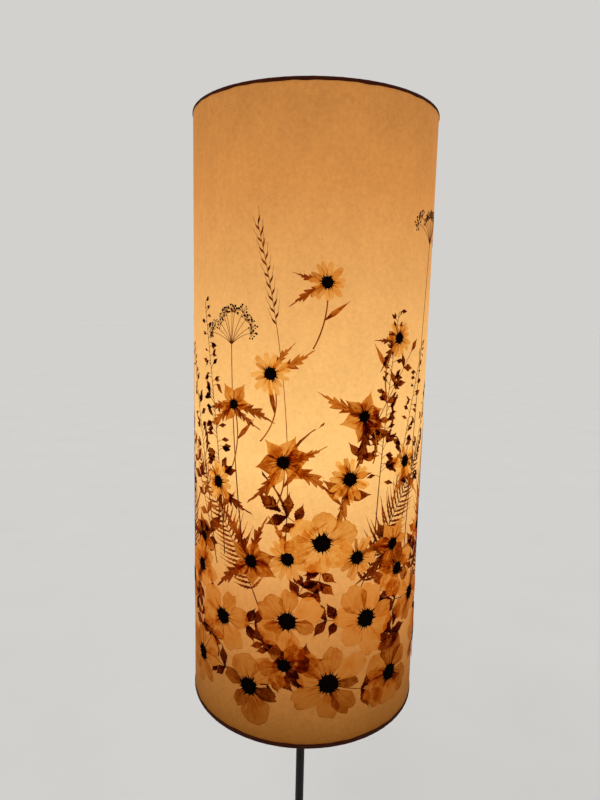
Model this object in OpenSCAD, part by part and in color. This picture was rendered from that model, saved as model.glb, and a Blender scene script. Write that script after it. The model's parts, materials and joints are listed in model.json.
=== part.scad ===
// Floor lamp: a tall cylindrical parchment shade on a slim stem with a round weighted base.
// Millimetres, +Z up, origin on the floor under the middle of the base. The back is +Y.

/* [Base] */
// Diameter of the base over its cover
base_d = 280; // [230:1:340]
// Thickness of the felt pad under the base
felt_t = 2; // [1:0.5:4]
// Width of bare iron left outside the felt pad
felt_margin = 7; // [3:1:20]
// Hole in the middle of the felt pad
felt_hole_d = 76; // [66:1:120]
// Thickness of the cast iron weight
weight_t = 12; // [12:0.5:25]
// Gap between the weight and the cover's skirt
weight_gap = 1.4; // [1.2:0.1:4]
// Boss on the weight that carries the cover
boss_d = 48; // [36:1:80]
// Recess under the weight for the nut and the washer
recess_d = 60; // [44:1:64]
// Depth of that recess
recess_h = 9; // [8.5:0.5:10.5]
// Wall of the spun steel cover
cover_t = 1.2; // [0.8:0.1:2]
// Radius of the cover's rounded edge
cover_edge_r = 8; // [4:0.5:9]
// Rise of the cover's crown above the weight's flat top
crown_h = 13; // [11:0.5:20]
// Gap between the cover's skirt and the floor
skirt_lift = 1; // [0.5:0.1:1.5]

/* [Cord inlet] */
// Bore of the grommet, for a round flexible cord
grommet_bore_d = 6.5; // [5:0.1:7]
// Wall of the grommet's neck
grommet_wall = 1.2; // [0.8:0.1:1.5]
// How far the grommet's flanges stand out from its neck
grommet_lip = 1.2; // [0.8:0.1:1.2]
// Thickness of each flange
grommet_flange_t = 1.2; // [0.8:0.1:2]

/* [Stem] */
// Outer diameter of the stem tubes
stem_d = 12; // [11.6:0.1:16]
// Length of the lower tube
lower_stem_l = 526; // [300:1:700]
// Length of the upper tube
upper_stem_l = 526; // [300:1:700]
// Outer diameter of the threaded nipples
nipple_d = 10; // [9:0.1:10.2]
// Bore of the nipples, for the cord
nipple_bore_d = 7; // [5:0.1:7.5]
// Length of nipple that sits in a tube
nipple_grip = 20; // [12:1:40]
// Length of nipple that shows past its nut
nipple_end = 1; // [0.5:0.1:1.5]
// Width of the base nut across its flats
nut_af = 17; // [14:0.5:20]
// Height of the base nut
nut_h = 5; // [4:0.5:5]
// Diameter of the washer over the nut
washer_d = 30; // [24:1:40]
// Thickness of the washer
washer_t = 2; // [1:0.1:2.2]
// Diameter of the collar at the foot of the stem
collar_d = 30; // [24:1:44]
// Height of the collar
collar_h = 18; // [12:1:40]
// Thickness of the collar's floor, which the stem stands on
collar_floor = 4; // [2:0.5:8]
// Wall of the collar's neck
collar_neck_wall = 2; // [1.5:0.1:4]

/* [Lampholder] */
// Outer diameter of the cap
cap_d = 44; // [43:0.5:60]
// Height of the cap
cap_h = 34; // [33:0.5:50]
// Wall of the cap at its rim
cap_wall = 2.5; // [2:0.1:3]
// Depth of the ledge inside the cap that carries the contact block
ledge_w = 2.5; // [1.5:0.1:3]
// Thickness of the cap's floor over its dome
cap_floor = 4; // [3:0.5:6]
// Diameter of the cap's boss
cap_boss_d = 18; // [15:0.5:22]
// Length of the boss below the dome
cap_boss_h = 6; // [5:0.5:12]
// Radius of the dome's shoulder
cap_dome_r = 10; // [6:0.5:10]
// Diameter of the lock screw in the boss
lock_screw_d = 3; // [2:0.5:4]
// Thickness of the contact block's flange
block_flange_t = 3; // [3:0.5:5]
// Height of the contact block above its flange
block_h = 12; // [10:0.5:16]
// Diameter of the terminal screws
terminal_d = 3; // [2:0.5:3.5]
// Distance of the terminal screws from the axis
terminal_r = 11; // [9:0.5:12.5]
// Height of the centre contact over the block
contact_rise = 4; // [3:0.5:5]
// Thickness of the contact and spring leaves
leaf_t = 0.6; // [0.4:0.1:1]
// Wall of the screw shell
shell_t = 0.5; // [0.3:0.1:1]
// Height of the screw shell
shell_h = 26; // [20:1:28]
// Outer diameter of the barrel that the shade rings screw on
barrel_d = 39.5; // [38:0.5:42]
// Height of the barrel over its flange
barrel_h = 35; // [35:1:50]
// Thickness of the flange under the barrel
flange_t = 3; // [2:0.5:5]
// Length of the spigot that holds the contact block down
spigot_h = 4; // [3:0.5:6]
// Wall of the spigot
spigot_wall = 3; // [2:0.1:3.5]

/* [Switch] */
// Height of the switch spindle over the cap's floor
spindle_rise = 8.5; // [8:0.1:9]
// Diameter of the spindle
spindle_d = 5; // [4:0.1:6]
// Diameter of the switch rotor
rotor_d = 9; // [8:0.1:10]
// Length of the rotor
rotor_l = 8; // [5:0.5:9]
// Diameter of the turn knob
knob_d = 15; // [12:0.5:18]
// Length of the turn knob
knob_l = 11; // [8:0.5:13]
// Depth of the spindle in the knob
knob_grip = 8; // [5:0.5:9]
// Flutes around the knob
knob_flutes = 12; // [8:1:16]

/* [Shade rings] */
// Diameter of the ring nuts' flanges
ring_nut_d = 58; // [52:1:60]
// Diameter of the ring nuts' grips
ring_grip_d = 47; // [45:0.5:50]
// Thickness of the ring nuts' flanges
ring_flange_t = 2; // [1.5:0.1:3]
// Height of the ring nuts' grips
ring_grip_h = 7; // [5:0.5:8]
// Ribs around each grip
ring_ribs = 24; // [12:1:30]

/* [Bulb] */
// Diameter of the bulb's screw cap
bulb_cap_d = 26.4; // [25:0.1:27]
// Length of the bulb over everything
bulb_l = 106; // [98:1:120]
// Diameter of the bulb
bulb_d = 60; // [50:1:64]
// Radius of the hollow curve from the neck to the bulb
bulb_neck_curve = 40; // [30:1:44]
// Wall of the glass
glass_t = 0.8; // [0.5:0.1:1.2]
// Wall of the screw cap
bulb_cap_t = 0.5; // [0.3:0.1:0.8]
// Diameter of the filament's ring
filament_d = 18; // [12:1:24]

/* [Shade] */
// Outer diameter of the parchment sheet
shade_d = 300; // [240:1:380]
// Height of the shade over its bindings
shade_h = 750; // [500:5:900]
// Thickness of the parchment
sheet_t = 0.8; // [0.5:0.1:1.5]
// Width of the glued lap at the back
lap_w = 14; // [8:1:30]
// Wire of the top and bottom rings
ring_wire_d = 4; // [3:0.5:6]
// Wire of the spider's arms
arm_wire_d = 3.5; // [2.5:0.1:4]
// Arms of the spider
arm_count = 3; // [3:1:4]
// Height of the carrier ring over the bottom ring
carrier_rise = 288; // [150:1:330]
// Thickness of the carrier ring
carrier_t = 2; // [1.5:0.1:3]
// Outer diameter of the carrier ring
carrier_d = 70; // [70:1:90]
// Thickness of the binding
binding_t = 0.6; // [0.3:0.1:1]
// Length of the top binding past its rolled edge, on the outside
top_binding_leg = 1.4; // [1:0.1:8]
// Length of the bottom binding past its rolled edge, on the outside
bottom_binding_leg = 3.8; // [1:0.1:8]
// Length of both bindings past their rolled edges, on the inside
inside_leg = 1.4; // [1:0.1:4]

/* [Clearances] */
// Gap around pieces that slip or screw into each other
seat_gap = 0.1; // [0.05:0.05:0.3]
// Gap between the bulb's cap and the screw shell
bulb_play = 0.3; // [0.2:0.1:0.6]
// Gap between the spindle and its hole
running_gap = 0.08; // [0.03:0.01:0.1]
// Gap between the carrier ring and the ring nuts
swivel_gap = 0.1; // [0.05:0.05:0.3]
// Gap between the carrier ring and the barrel
swivel_play = 0.4; // [0.3:0.1:1]
// Gap between the knob and the cap, and under the rotor
switch_gap = 0.6; // [0.4:0.1:1]

/* [Hidden] */
$fn = 96;
// Overshoot of a cut past the face that it opens
cut = 1;

// Base
base_r = base_d/2;
weight_r = base_r - cover_t - weight_gap;
weight_z = felt_t;
deck_z = weight_z + weight_t;
crown_z = deck_z + crown_h;
edge_x = base_r - cover_edge_r;
crown_r = (pow(edge_x, 2) + pow(crown_h, 2) - pow(cover_edge_r, 2))/(2*(crown_h - cover_edge_r));
crown_c = [0, crown_z - crown_r];
crown_a = atan2(deck_z - crown_c[1], edge_x);
boss_z = crown_c[1] + sqrt(pow(crown_r - cover_t, 2) - pow(boss_d/2, 2)) - seat_gap;
recess_z = weight_z + recess_h;

// Cord inlet
inlet_z = (skirt_lift + deck_z)/2;
neck_r = grommet_bore_d/2 + grommet_wall;
lip_r = neck_r + grommet_lip;
groove_w = cover_t + 2*seat_gap;
lip_chamfer = grommet_flange_t/3;
pocket_gap = 1;
pocket_depth = 8;

// Stem
nipple_r = nipple_d/2;
thread_r = nipple_r + seat_gap;
stem_r = stem_d/2;
stem_z = crown_z + collar_floor;
joint_z = stem_z + lower_stem_l;
stem_top_z = joint_z + upper_stem_l;
washer_z = recess_z - washer_t;
nut_z = washer_z - nut_h;

// Lampholder, stacked on the top of the stem
holder_z = stem_top_z;
cap_r = cap_d/2;
cap_bore_r = cap_r - cap_wall;
ledge_r = cap_bore_r - ledge_w;
cap_floor_z = holder_z + cap_boss_h + cap_floor;
cap_top_z = holder_z + cap_h;
block_z = cap_top_z - spigot_h - block_flange_t;
block_top_z = block_z + block_flange_t + block_h;
bulb_cap_r = bulb_cap_d/2;
shell_in_r = bulb_cap_r + bulb_play;
shell_r = shell_in_r + shell_t;
socket_r = shell_r + seat_gap;
spigot_r = cap_bore_r - seat_gap;
barrel_r = barrel_d/2;
barrel_z = cap_top_z + flange_t;
barrel_top_z = barrel_z + barrel_h;
contact_z = block_top_z + contact_rise;
terminal_depth = 2.4;
terminal_head_h = 2;
terminal_head_d = terminal_d + 2.4;
contact_w = 6;
contact_foot_x = -9;
contact_foot_l = 4;
contact_crest_l = 3;
contact_tip_x = 6;
rivet_r = 1.4;

// Switch, on a spindle along +X
spindle_z = cap_floor_z + spindle_rise;
spindle_r = spindle_d/2;
rotor_r = rotor_d/2;
rotor_x = 2;
notch_r = 1.2;
stop_w = 1.5;
stop_l = 1.5;
stop_r = spindle_r + stop_w;
stop_x = sqrt(pow(ledge_r, 2) - pow(stop_r, 2)) - seat_gap - stop_l;
spring_w = rotor_l - 2;
spring_inset = 6;
knob_x = cap_r + switch_gap;
knob_r = knob_d/2;

// Ring nuts and the carrier between them
ring_h = ring_flange_t + ring_grip_h;
ring_top_clear = 3;
upper_ring_z = barrel_top_z - ring_top_clear - ring_h;
carrier_z = upper_ring_z - swivel_gap - carrier_t;
lower_ring_z = carrier_z - swivel_gap - ring_h;

// Bulb, standing on the centre contact
bulb_z = contact_z + seat_gap;
bulb_contact_h = 3;
bulb_contact_r = 4.5;
insulator_z = 1.5;
insulator_lip = 1.5;
insulator_h = 5.5;
bulb_shell_z = 5.5;
bulb_shell_l = 20.5;
bulb_r = bulb_d/2;
bulb_c = [0, bulb_l - bulb_r];
glass_grip = 6;
glass_z = bulb_shell_z + bulb_shell_l - glass_grip;
glass_neck_r = bulb_cap_r - bulb_cap_t - seat_gap;
neck_c = [
    glass_neck_r + bulb_neck_curve,
    bulb_c[1] - sqrt(pow(bulb_r + bulb_neck_curve, 2) - pow(glass_neck_r + bulb_neck_curve, 2))
];
neck_a = atan2(bulb_c[1] - neck_c[1], neck_c[0]);
mount_r = glass_neck_r - glass_t - seat_gap;
mount_stem_r = 4;
mount_h = 32;
mount_rim = 1;
filament_r = 0.6;
lead_r = 0.4;
lead_foot = 2.5;

// Shade, hung round the carrier ring
shade_r = shade_d/2;
wire_r = ring_wire_d/2;
arm_r = arm_wire_d/2;
ring_r = shade_r - sheet_t - seat_gap - wire_r;
roll_in_r = (ring_wire_d + sheet_t + 3*seat_gap)/2;
roll_r = roll_in_r + binding_t;
roll_x = shade_r + seat_gap - roll_in_r;
bottom_ring_z = carrier_z - carrier_rise;
shade_z = bottom_ring_z - roll_r;
shade_top_z = shade_z + shade_h;
top_ring_z = shade_top_z - roll_r;
top_binding_h = roll_r + top_binding_leg;
bottom_binding_h = roll_r + bottom_binding_leg;
weld_r = carrier_d/2 - arm_r;
arm_lean = atan2(ring_r - weld_r, carrier_rise);
arm_l = norm([ring_r - weld_r, carrier_rise]);
first_arm_a = 90;

// Points along an arc about c, from angle a0 to a1 in n steps
function arc(c, r, a0, a1, n) =
    [for (i = [0:n]) let (a = a0 + (a1 - a0)*i/n) c + r*[cos(a), sin(a)]];

// All points of a list but the first
function rest(list) = [for (i = [1:len(list) - 1]) list[i]];

// Tube standing on z
module tube(r, bore, z, h) {
    translate([0, 0, z]) difference() {
        cylinder(r = r, h = h);
        translate([0, 0, -cut]) cylinder(r = bore, h = h + 2*cut);
    }
}

// Revolves a polygon of [radius, height] points about the vertical axis
module turned(points, z = 0) {
    translate([0, 0, z]) rotate_extrude() polygon(points);
}

// Turns children from the vertical axis to +X, through the spindle's height
module on_spindle(x) {
    translate([x, 0, spindle_z]) rotate([0, 90, 0]) children();
}

module base_pad() {
    color("#3a3733") tube(weight_r - felt_margin, felt_hole_d/2, 0, felt_t);
}

module base_weight() {
    pocket_w = 2*(lip_r + pocket_gap);
    channel_h = inlet_z + neck_r - weight_z;
    color("#4a4a4c") difference() {
        union() {
            translate([0, 0, weight_z]) cylinder(r = weight_r, h = weight_t);
            translate([0, 0, weight_z]) cylinder(d = boss_d, h = boss_z - weight_z);
        }
        translate([0, 0, weight_z - cut]) cylinder(d = recess_d, h = recess_h + cut);
        translate([0, 0, weight_z]) cylinder(r = thread_r, h = boss_z);
        // Channel for the cord from the recess to the inlet, and room for the grommet
        translate([-neck_r, 0, weight_z - cut]) cube([2*neck_r, weight_r, channel_h + cut]);
        translate([-pocket_w/2, weight_r - pocket_depth, weight_z - cut])
            cube([pocket_w, 2*pocket_depth, weight_t + 2*cut]);
    }
}

module base_cover() {
    hole_a = acos(thread_r/crown_r);
    outside = concat(
        arc([edge_x, deck_z], cover_edge_r, 0, crown_a, 8),
        rest(arc(crown_c, crown_r, crown_a, hole_a, 8))
    );
    inside = concat(
        arc(crown_c, crown_r - cover_t, hole_a, crown_a, 8),
        rest(arc([edge_x, deck_z], cover_edge_r - cover_t, crown_a, 0, 8))
    );
    color("#1c1a19") difference() {
        turned(concat([[base_r, skirt_lift]], outside, inside, [[base_r - cover_t, skirt_lift]]));
        translate([0, edge_x, inlet_z]) rotate([-90, 0, 0])
            cylinder(r = neck_r + seat_gap, h = 2*cover_edge_r);
    }
}

// Bush in the skirt at the back, with a flange on each side of the steel
module cord_grommet() {
    inner_y = base_r - groove_w - grommet_flange_t;
    length = groove_w + 2*grommet_flange_t;
    color("#151515") translate([0, inner_y, inlet_z]) rotate([-90, 0, 0]) turned([
        [grommet_bore_d/2, 0],
        [lip_r - lip_chamfer, 0],
        [lip_r, lip_chamfer],
        [lip_r, grommet_flange_t],
        [neck_r, grommet_flange_t],
        [neck_r, length - grommet_flange_t],
        [lip_r, length - grommet_flange_t],
        [lip_r, length - lip_chamfer],
        [lip_r - lip_chamfer, length],
        [grommet_bore_d/2, length]
    ]);
}

module base_washer() {
    color("#a7a9ab") tube(washer_d/2, thread_r, washer_z, washer_t);
}

module base_nut() {
    color("#a7a9ab") translate([0, 0, nut_z]) difference() {
        cylinder(r = nut_af/2/cos(30), h = nut_h, $fn = 6);
        translate([0, 0, -cut]) cylinder(r = thread_r, h = nut_h + 2*cut);
    }
}

// Threaded tube of outer radius nipple_r from z0 to z1
module nipple(z0, z1) {
    color("#a7a9ab") tube(nipple_r, nipple_bore_d/2, z0, z1 - z0);
}

module base_nipple() {
    nipple(nut_z - nipple_end, stem_z + nipple_grip);
}

module stem_joint_nipple() {
    nipple(joint_z - nipple_grip, joint_z + nipple_grip);
}

module holder_nipple() {
    nipple(stem_top_z - nipple_grip, cap_floor_z + nipple_end);
}

module stem_collar() {
    bore = stem_r + seat_gap;
    neck = bore + collar_neck_wall;
    foot_r = collar_d/2;
    sweep = min(foot_r - neck, collar_h - collar_floor);
    color("#1c1a19") turned(concat(
        [[thread_r, 0], [foot_r, 0]],
        arc([neck + sweep, collar_floor/2 + sweep], sweep, 270, 180, 10),
        [[neck, collar_h], [bore, collar_h], [bore, collar_floor], [thread_r, collar_floor]]
    ), crown_z);
}

module lower_stem() {
    color("#171312") tube(stem_r, thread_r, stem_z, lower_stem_l);
}

module upper_stem() {
    color("#171312") tube(stem_r, thread_r, joint_z, upper_stem_l);
}

module holder_cap() {
    floor_z = cap_floor_z - holder_z;
    ledge_z = block_z - holder_z;
    color("#191614") difference() {
        turned(concat(
            [[thread_r, 0], [cap_boss_d/2, 0], [cap_boss_d/2, cap_boss_h]],
            arc([cap_r - cap_dome_r, cap_boss_h + cap_dome_r], cap_dome_r, 270, 360, 10),
            [[cap_r, cap_h], [cap_bore_r, cap_h], [cap_bore_r, ledge_z], [ledge_r, ledge_z]],
            [[ledge_r, floor_z], [thread_r, floor_z]]
        ), holder_z);
        on_spindle(0) cylinder(r = spindle_r + running_gap, h = cap_d);
        rotate([0, 0, 180]) translate([0, 0, holder_z + cap_boss_h/2]) rotate([0, 90, 0])
            cylinder(r = lock_screw_d/2 + seat_gap, h = cap_boss_d);
    }
}

module cap_lock_screw() {
    slot_w = 0.6;
    slot_h = 1;
    head_x = cap_boss_d/2;
    color("#a7a9ab") rotate([0, 0, 180]) translate([0, 0, holder_z + cap_boss_h/2]) difference() {
        translate([nipple_r + seat_gap, 0, 0]) rotate([0, 90, 0])
            cylinder(d = lock_screw_d, h = head_x - nipple_r - seat_gap);
        translate([head_x - slot_h, -lock_screw_d, -slot_w/2])
            cube([2*slot_h, 2*lock_screw_d, slot_w]);
    }
}

// Places children at both terminals
module at_terminals() {
    for (side = [-1, 1]) translate([0, side*terminal_r, block_z]) children();
}

module contact_block() {
    color("#e9e6dc") difference() {
        union() {
            translate([0, 0, block_z]) cylinder(r = cap_bore_r - seat_gap, h = block_flange_t);
            translate([0, 0, block_z]) cylinder(r = shell_r, h = block_top_z - block_z);
        }
        at_terminals() translate([0, 0, -cut])
            cylinder(r = terminal_d/2 + seat_gap, h = terminal_depth + seat_gap + cut);
    }
}

module terminal_screws() {
    slot_w = 0.7;
    slot_h = 0.8;
    color("#c8a24a") at_terminals() difference() {
        union() {
            translate([0, 0, -terminal_head_h]) cylinder(d = terminal_head_d, h = terminal_head_h);
            cylinder(d = terminal_d, h = terminal_depth);
        }
        translate([-terminal_head_d, -slot_w/2, -terminal_head_h - cut])
            cube([2*terminal_head_d, slot_w, slot_h + cut]);
    }
}

// Bent strip in the XZ plane: a foot, a ramp, a flat crest and a tip, with its width along Y
module leaf(foot_x, foot_l, crest_l, tip_x, rise, width) {
    ramp_x = foot_x + foot_l;
    low = [[foot_x, 0], [ramp_x, 0], [-crest_l/2, rise - leaf_t], [crest_l/2, rise - leaf_t]];
    tip = [[tip_x, rise - 3*leaf_t], [tip_x, rise - 2*leaf_t]];
    high = [[crest_l/2, rise], [-crest_l/2, rise], [ramp_x, leaf_t], [foot_x, leaf_t]];
    rotate([90, 0, 0]) linear_extrude(width, center = true) polygon(concat(low, tip, high));
}

module centre_contact() {
    color("#c8a24a") translate([0, 0, block_top_z]) union() {
        leaf(contact_foot_x, contact_foot_l, contact_crest_l, contact_tip_x, contact_rise, contact_w);
        translate([contact_foot_x + contact_foot_l/2, 0, 0]) cylinder(r = rivet_r, h = 2*leaf_t);
    }
}

module screw_shell() {
    color("#c8a24a") tube(shell_r, shell_in_r, block_top_z, shell_h);
}

module holder_barrel() {
    lip = 1;
    spigot_z = block_z + block_flange_t - holder_z;
    flange_z = cap_top_z - holder_z;
    bore_step_z = flange_z + flange_t;
    top = barrel_top_z - holder_z;
    color("#191614") turned([
        [spigot_r - spigot_wall, spigot_z],
        [spigot_r, spigot_z],
        [spigot_r, flange_z],
        [cap_r, flange_z],
        [cap_r, flange_z + flange_t - lip],
        [cap_r - lip, flange_z + flange_t],
        [barrel_r, flange_z + flange_t],
        [barrel_r, top - lip],
        [barrel_r - lip, top],
        [socket_r, top],
        [socket_r, bore_step_z],
        [spigot_r - spigot_wall, bore_step_z]
    ], holder_z);
}

// Ring nut with its flange on top, standing on z = 0
module ring_nut() {
    rib_r = 1;
    difference() {
        union() {
            cylinder(d = ring_grip_d, h = ring_h);
            translate([0, 0, ring_grip_h]) cylinder(d = ring_nut_d, h = ring_flange_t);
        }
        translate([0, 0, -cut]) cylinder(r = barrel_r + seat_gap, h = ring_h + 2*cut);
        for (i = [0:ring_ribs - 1]) rotate([0, 0, 360*i/ring_ribs])
            translate([ring_grip_d/2 + rib_r/2, 0, -cut])
                cylinder(r = rib_r, h = ring_grip_h + cut - rib_r);
    }
}

module lower_shade_ring() {
    color("#191614") translate([0, 0, lower_ring_z]) ring_nut();
}

module upper_shade_ring() {
    color("#191614") translate([0, 0, upper_ring_z + ring_h]) mirror([0, 0, 1]) ring_nut();
}

// Leaf under the rotor that clicks into its notches
module switch_spring() {
    rise = spindle_rise - rotor_r - switch_gap;
    reach = ledge_r - spring_inset;
    color("#c8a24a") translate([rotor_x + rotor_l/2, 0, cap_floor_z]) rotate([0, 0, 90])
        leaf(-reach, reach/3, rotor_r, reach*2/3, rise, spring_w);
}

module switch_rotor() {
    color("#e3ddcc") on_spindle(rotor_x) difference() {
        cylinder(r = rotor_r, h = rotor_l);
        translate([0, 0, -cut]) cylinder(r = spindle_r, h = rotor_l + 2*cut);
        for (a = [0:90:270]) rotate([0, 0, a])
            translate([rotor_r + notch_r/3, 0, -cut]) cylinder(r = notch_r, h = rotor_l + 2*cut);
    }
}

module switch_spindle() {
    color("#c8a24a") union() {
        on_spindle(rotor_x) cylinder(r = spindle_r, h = knob_x + knob_grip - rotor_x);
        on_spindle(stop_x) cylinder(r = stop_r, h = stop_l);
    }
}

module switch_knob() {
    flute_r = 1.3;
    flute_start = 2;
    crown = 2;
    color("#191614") on_spindle(knob_x) difference() {
        turned(concat(
            [[0, 0], [knob_r, 0]],
            arc([knob_r - crown, knob_l - crown], crown, 0, 90, 6),
            [[0, knob_l]]
        ));
        translate([0, 0, -cut]) cylinder(r = spindle_r, h = knob_grip + cut);
        for (i = [0:knob_flutes - 1]) rotate([0, 0, 360*i/knob_flutes])
            translate([knob_r + flute_r/2, 0, flute_start]) cylinder(r = flute_r, h = knob_l);
    }
}

module bulb_contact() {
    dome = 1;
    color("#b9bcc0") turned(concat(
        [[0, 0], [bulb_contact_r - dome, 0]],
        arc([bulb_contact_r - dome, dome], dome, 270, 360, 5),
        [[bulb_contact_r, bulb_contact_h], [0, bulb_contact_h]]
    ), bulb_z);
}

module bulb_insulator() {
    pocket_r = bulb_contact_r + seat_gap;
    rim_r = bulb_cap_r - bulb_cap_t - seat_gap;
    color("#23201f") turned([
        [0, bulb_contact_h],
        [pocket_r, bulb_contact_h],
        [pocket_r, insulator_z],
        [pocket_r + insulator_lip, insulator_z],
        [rim_r, bulb_shell_z],
        [rim_r, insulator_z + insulator_h],
        [0, insulator_z + insulator_h]
    ], bulb_z);
}

module bulb_cap() {
    color("#b9bcc0") tube(bulb_cap_r, bulb_cap_r - bulb_cap_t, bulb_z + bulb_shell_z, bulb_shell_l);
}

// Pear-shaped envelope: neck, hollow curve and ball, each tangent to the next
module bulb_glass() {
    outside = concat(
        [[glass_neck_r, glass_z]],
        arc(neck_c, bulb_neck_curve, 180, 180 - neck_a, 12),
        rest(arc(bulb_c, bulb_r, -neck_a, 90, 26))
    );
    inside = concat(
        arc(bulb_c, bulb_r - glass_t, 90, -neck_a, 26),
        rest(arc(neck_c, bulb_neck_curve + glass_t, 180 - neck_a, 180, 12)),
        [[glass_neck_r - glass_t, glass_z]]
    );
    color("#fff1d6") turned(concat(outside, inside), bulb_z);
}

module bulb_mount() {
    flare = mount_r - mount_stem_r;
    color("#dfe6e6") turned(concat(
        [[0, 0], [mount_r, 0]],
        arc([mount_r, mount_rim + flare], flare, 270, 180, 8),
        [[mount_stem_r, mount_h], [0, mount_h]]
    ), bulb_z + glass_z);
}

// Two leads from the glass mount to the ends of a half ring
module bulb_filament() {
    ring = filament_d/2;
    foot_z = bulb_z + glass_z + mount_h;
    ring_z = bulb_z + bulb_c[1];
    run = ring - lead_foot;
    lead_l = norm([run, ring_z - foot_z]);
    lead_a = atan2(run, ring_z - foot_z);
    color("#d8c48a") union() {
        for (turn = [0, 180]) rotate([0, 0, turn]) difference() {
            translate([lead_foot, 0, foot_z]) rotate([0, lead_a, 0])
                translate([0, 0, -cut]) cylinder(r = lead_r, h = lead_l + cut);
            translate([0, -cut, foot_z - 2*cut]) cube([2*lead_foot, 2*cut, 2*cut]);
        }
        translate([0, 0, ring_z]) rotate_extrude(angle = 180) translate([ring, 0]) circle(r = filament_r);
    }
}

module carrier_ring() {
    color("#8f8a82") tube(carrier_d/2, barrel_r + swivel_play, carrier_z, carrier_t);
}

// Wire ring of the shade at height z
module wire_ring(z) {
    translate([0, 0, z]) rotate_extrude() translate([ring_r, 0]) circle(r = wire_r);
}

// Straight wires of radius r from the bottom ring up to the carrier ring
module arm_wires(r, over = 0) {
    for (i = [0:arm_count - 1]) rotate([0, 0, first_arm_a + 360*i/arm_count])
        translate([ring_r, 0, bottom_ring_z]) rotate([0, -arm_lean, 0])
            cylinder(r = r, h = arm_l + over);
}

module spider_arms() {
    color("#8f8a82") difference() {
        arm_wires(arm_r, carrier_t);
        wire_ring(bottom_ring_z);
        translate([0, 0, carrier_z]) cylinder(d = 2*carrier_d, h = 4*carrier_t);
    }
}

module bottom_ring() {
    color("#8f8a82") wire_ring(bottom_ring_z);
}

module top_ring() {
    color("#8f8a82") wire_ring(top_ring_z);
}

// Sheet rolled into a tube, its ends at the middle of the ring wires, with the lap glued at the back
module shade_sheet() {
    lap_h = shade_h - top_binding_h - bottom_binding_h - 2*seat_gap;
    lap_r = shade_r + sheet_t;
    lap_half_a = lap_w/2/shade_r*180/PI;
    color("#efc68a") union() {
        tube(shade_r, shade_r - sheet_t, bottom_ring_z, top_ring_z - bottom_ring_z);
        translate([0, 0, shade_z + bottom_binding_h + seat_gap])
            rotate([0, 0, 90 - lap_half_a]) rotate_extrude(angle = 2*lap_half_a)
                translate([shade_r - sheet_t/2, 0]) square([lap_r - shade_r + sheet_t/2, lap_h]);
    }
}

// Tape rolled over the top edge of a ring at z = 0, with a leg outside and another inside
module binding(leg) {
    roll_c = [roll_x, 0];
    turned(concat(
        [[roll_x + roll_r, -leg]],
        arc(roll_c, roll_r, 0, 180, 16),
        [[roll_x - roll_r, -inside_leg], [roll_x - roll_in_r, -inside_leg]],
        arc(roll_c, roll_in_r, 180, 0, 12),
        [[roll_x + roll_in_r, -leg]]
    ));
}

module bottom_binding() {
    color("#3a2014") difference() {
        translate([0, 0, bottom_ring_z]) mirror([0, 0, 1]) binding(bottom_binding_leg);
        arm_wires(arm_r + 2*seat_gap);
    }
}

module top_binding() {
    color("#3a2014") translate([0, 0, top_ring_z]) binding(top_binding_leg);
}

base_pad();
base_weight();
base_cover();
cord_grommet();
base_washer();
base_nut();
base_nipple();
stem_collar();
lower_stem();
stem_joint_nipple();
upper_stem();
holder_nipple();
holder_cap();
cap_lock_screw();
contact_block();
terminal_screws();
centre_contact();
screw_shell();
holder_barrel();
lower_shade_ring();
upper_shade_ring();
switch_spring();
switch_rotor();
switch_spindle();
switch_knob();
bulb_contact();
bulb_insulator();
bulb_cap();
bulb_glass();
bulb_mount();
bulb_filament();
carrier_ring();
spider_arms();
bottom_ring();
top_ring();
shade_sheet();
bottom_binding();
top_binding();
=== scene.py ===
"""Floor lamp with a tall lit parchment shade, pressed meadow flowers, a slim stem and a round base."""

import json
import math
from typing import NamedTuple

import bpy
import numpy as np
from mathutils import Euler, Matrix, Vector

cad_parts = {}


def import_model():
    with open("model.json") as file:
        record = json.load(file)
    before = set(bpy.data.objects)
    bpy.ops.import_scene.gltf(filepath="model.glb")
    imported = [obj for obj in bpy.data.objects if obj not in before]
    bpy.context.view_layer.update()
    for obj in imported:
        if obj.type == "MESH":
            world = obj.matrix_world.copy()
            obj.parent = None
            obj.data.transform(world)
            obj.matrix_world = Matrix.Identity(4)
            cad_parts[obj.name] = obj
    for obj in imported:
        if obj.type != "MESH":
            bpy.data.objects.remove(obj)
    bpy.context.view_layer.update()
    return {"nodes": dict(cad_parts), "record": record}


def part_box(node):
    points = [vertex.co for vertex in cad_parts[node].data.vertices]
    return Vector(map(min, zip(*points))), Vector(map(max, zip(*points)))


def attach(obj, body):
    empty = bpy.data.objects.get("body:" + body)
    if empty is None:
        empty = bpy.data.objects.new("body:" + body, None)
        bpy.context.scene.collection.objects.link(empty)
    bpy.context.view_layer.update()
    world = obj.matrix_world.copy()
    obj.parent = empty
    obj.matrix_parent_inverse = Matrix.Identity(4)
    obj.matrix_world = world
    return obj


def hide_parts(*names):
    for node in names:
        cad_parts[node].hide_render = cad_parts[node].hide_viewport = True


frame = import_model()
nodes = frame["nodes"]

# All chance comes from one seed, so that each run gives the same lamp
rng = np.random.default_rng(seed=11)

MM = 0.001

# Shade and bulb, from the frame
sheet_low, sheet_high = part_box("shade_sheet")
bulb_low, bulb_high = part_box("bulb_glass")
SHADE_R = round(sheet_high.x, 4)
SHADE_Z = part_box("bottom_binding")[0].z
HALF_ROUND = math.pi * SHADE_R
BULB_Z = bulb_high.z - (bulb_high.x - bulb_low.x) / 2

# The sheet, the lap at its back, and the length in which its end rises over its start there
SHEET_T = 0.8 * MM
LAP_W = 14 * MM
LAP_RISE = 8 * MM

# Lamp light that comes through the sheet, from its rims to the level of the bulb
EMBER = (0.16, 0.048, 0.005)
AMBER = (0.60, 0.240, 0.060)
HONEY = (1.00, 0.570, 0.190)

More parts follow.
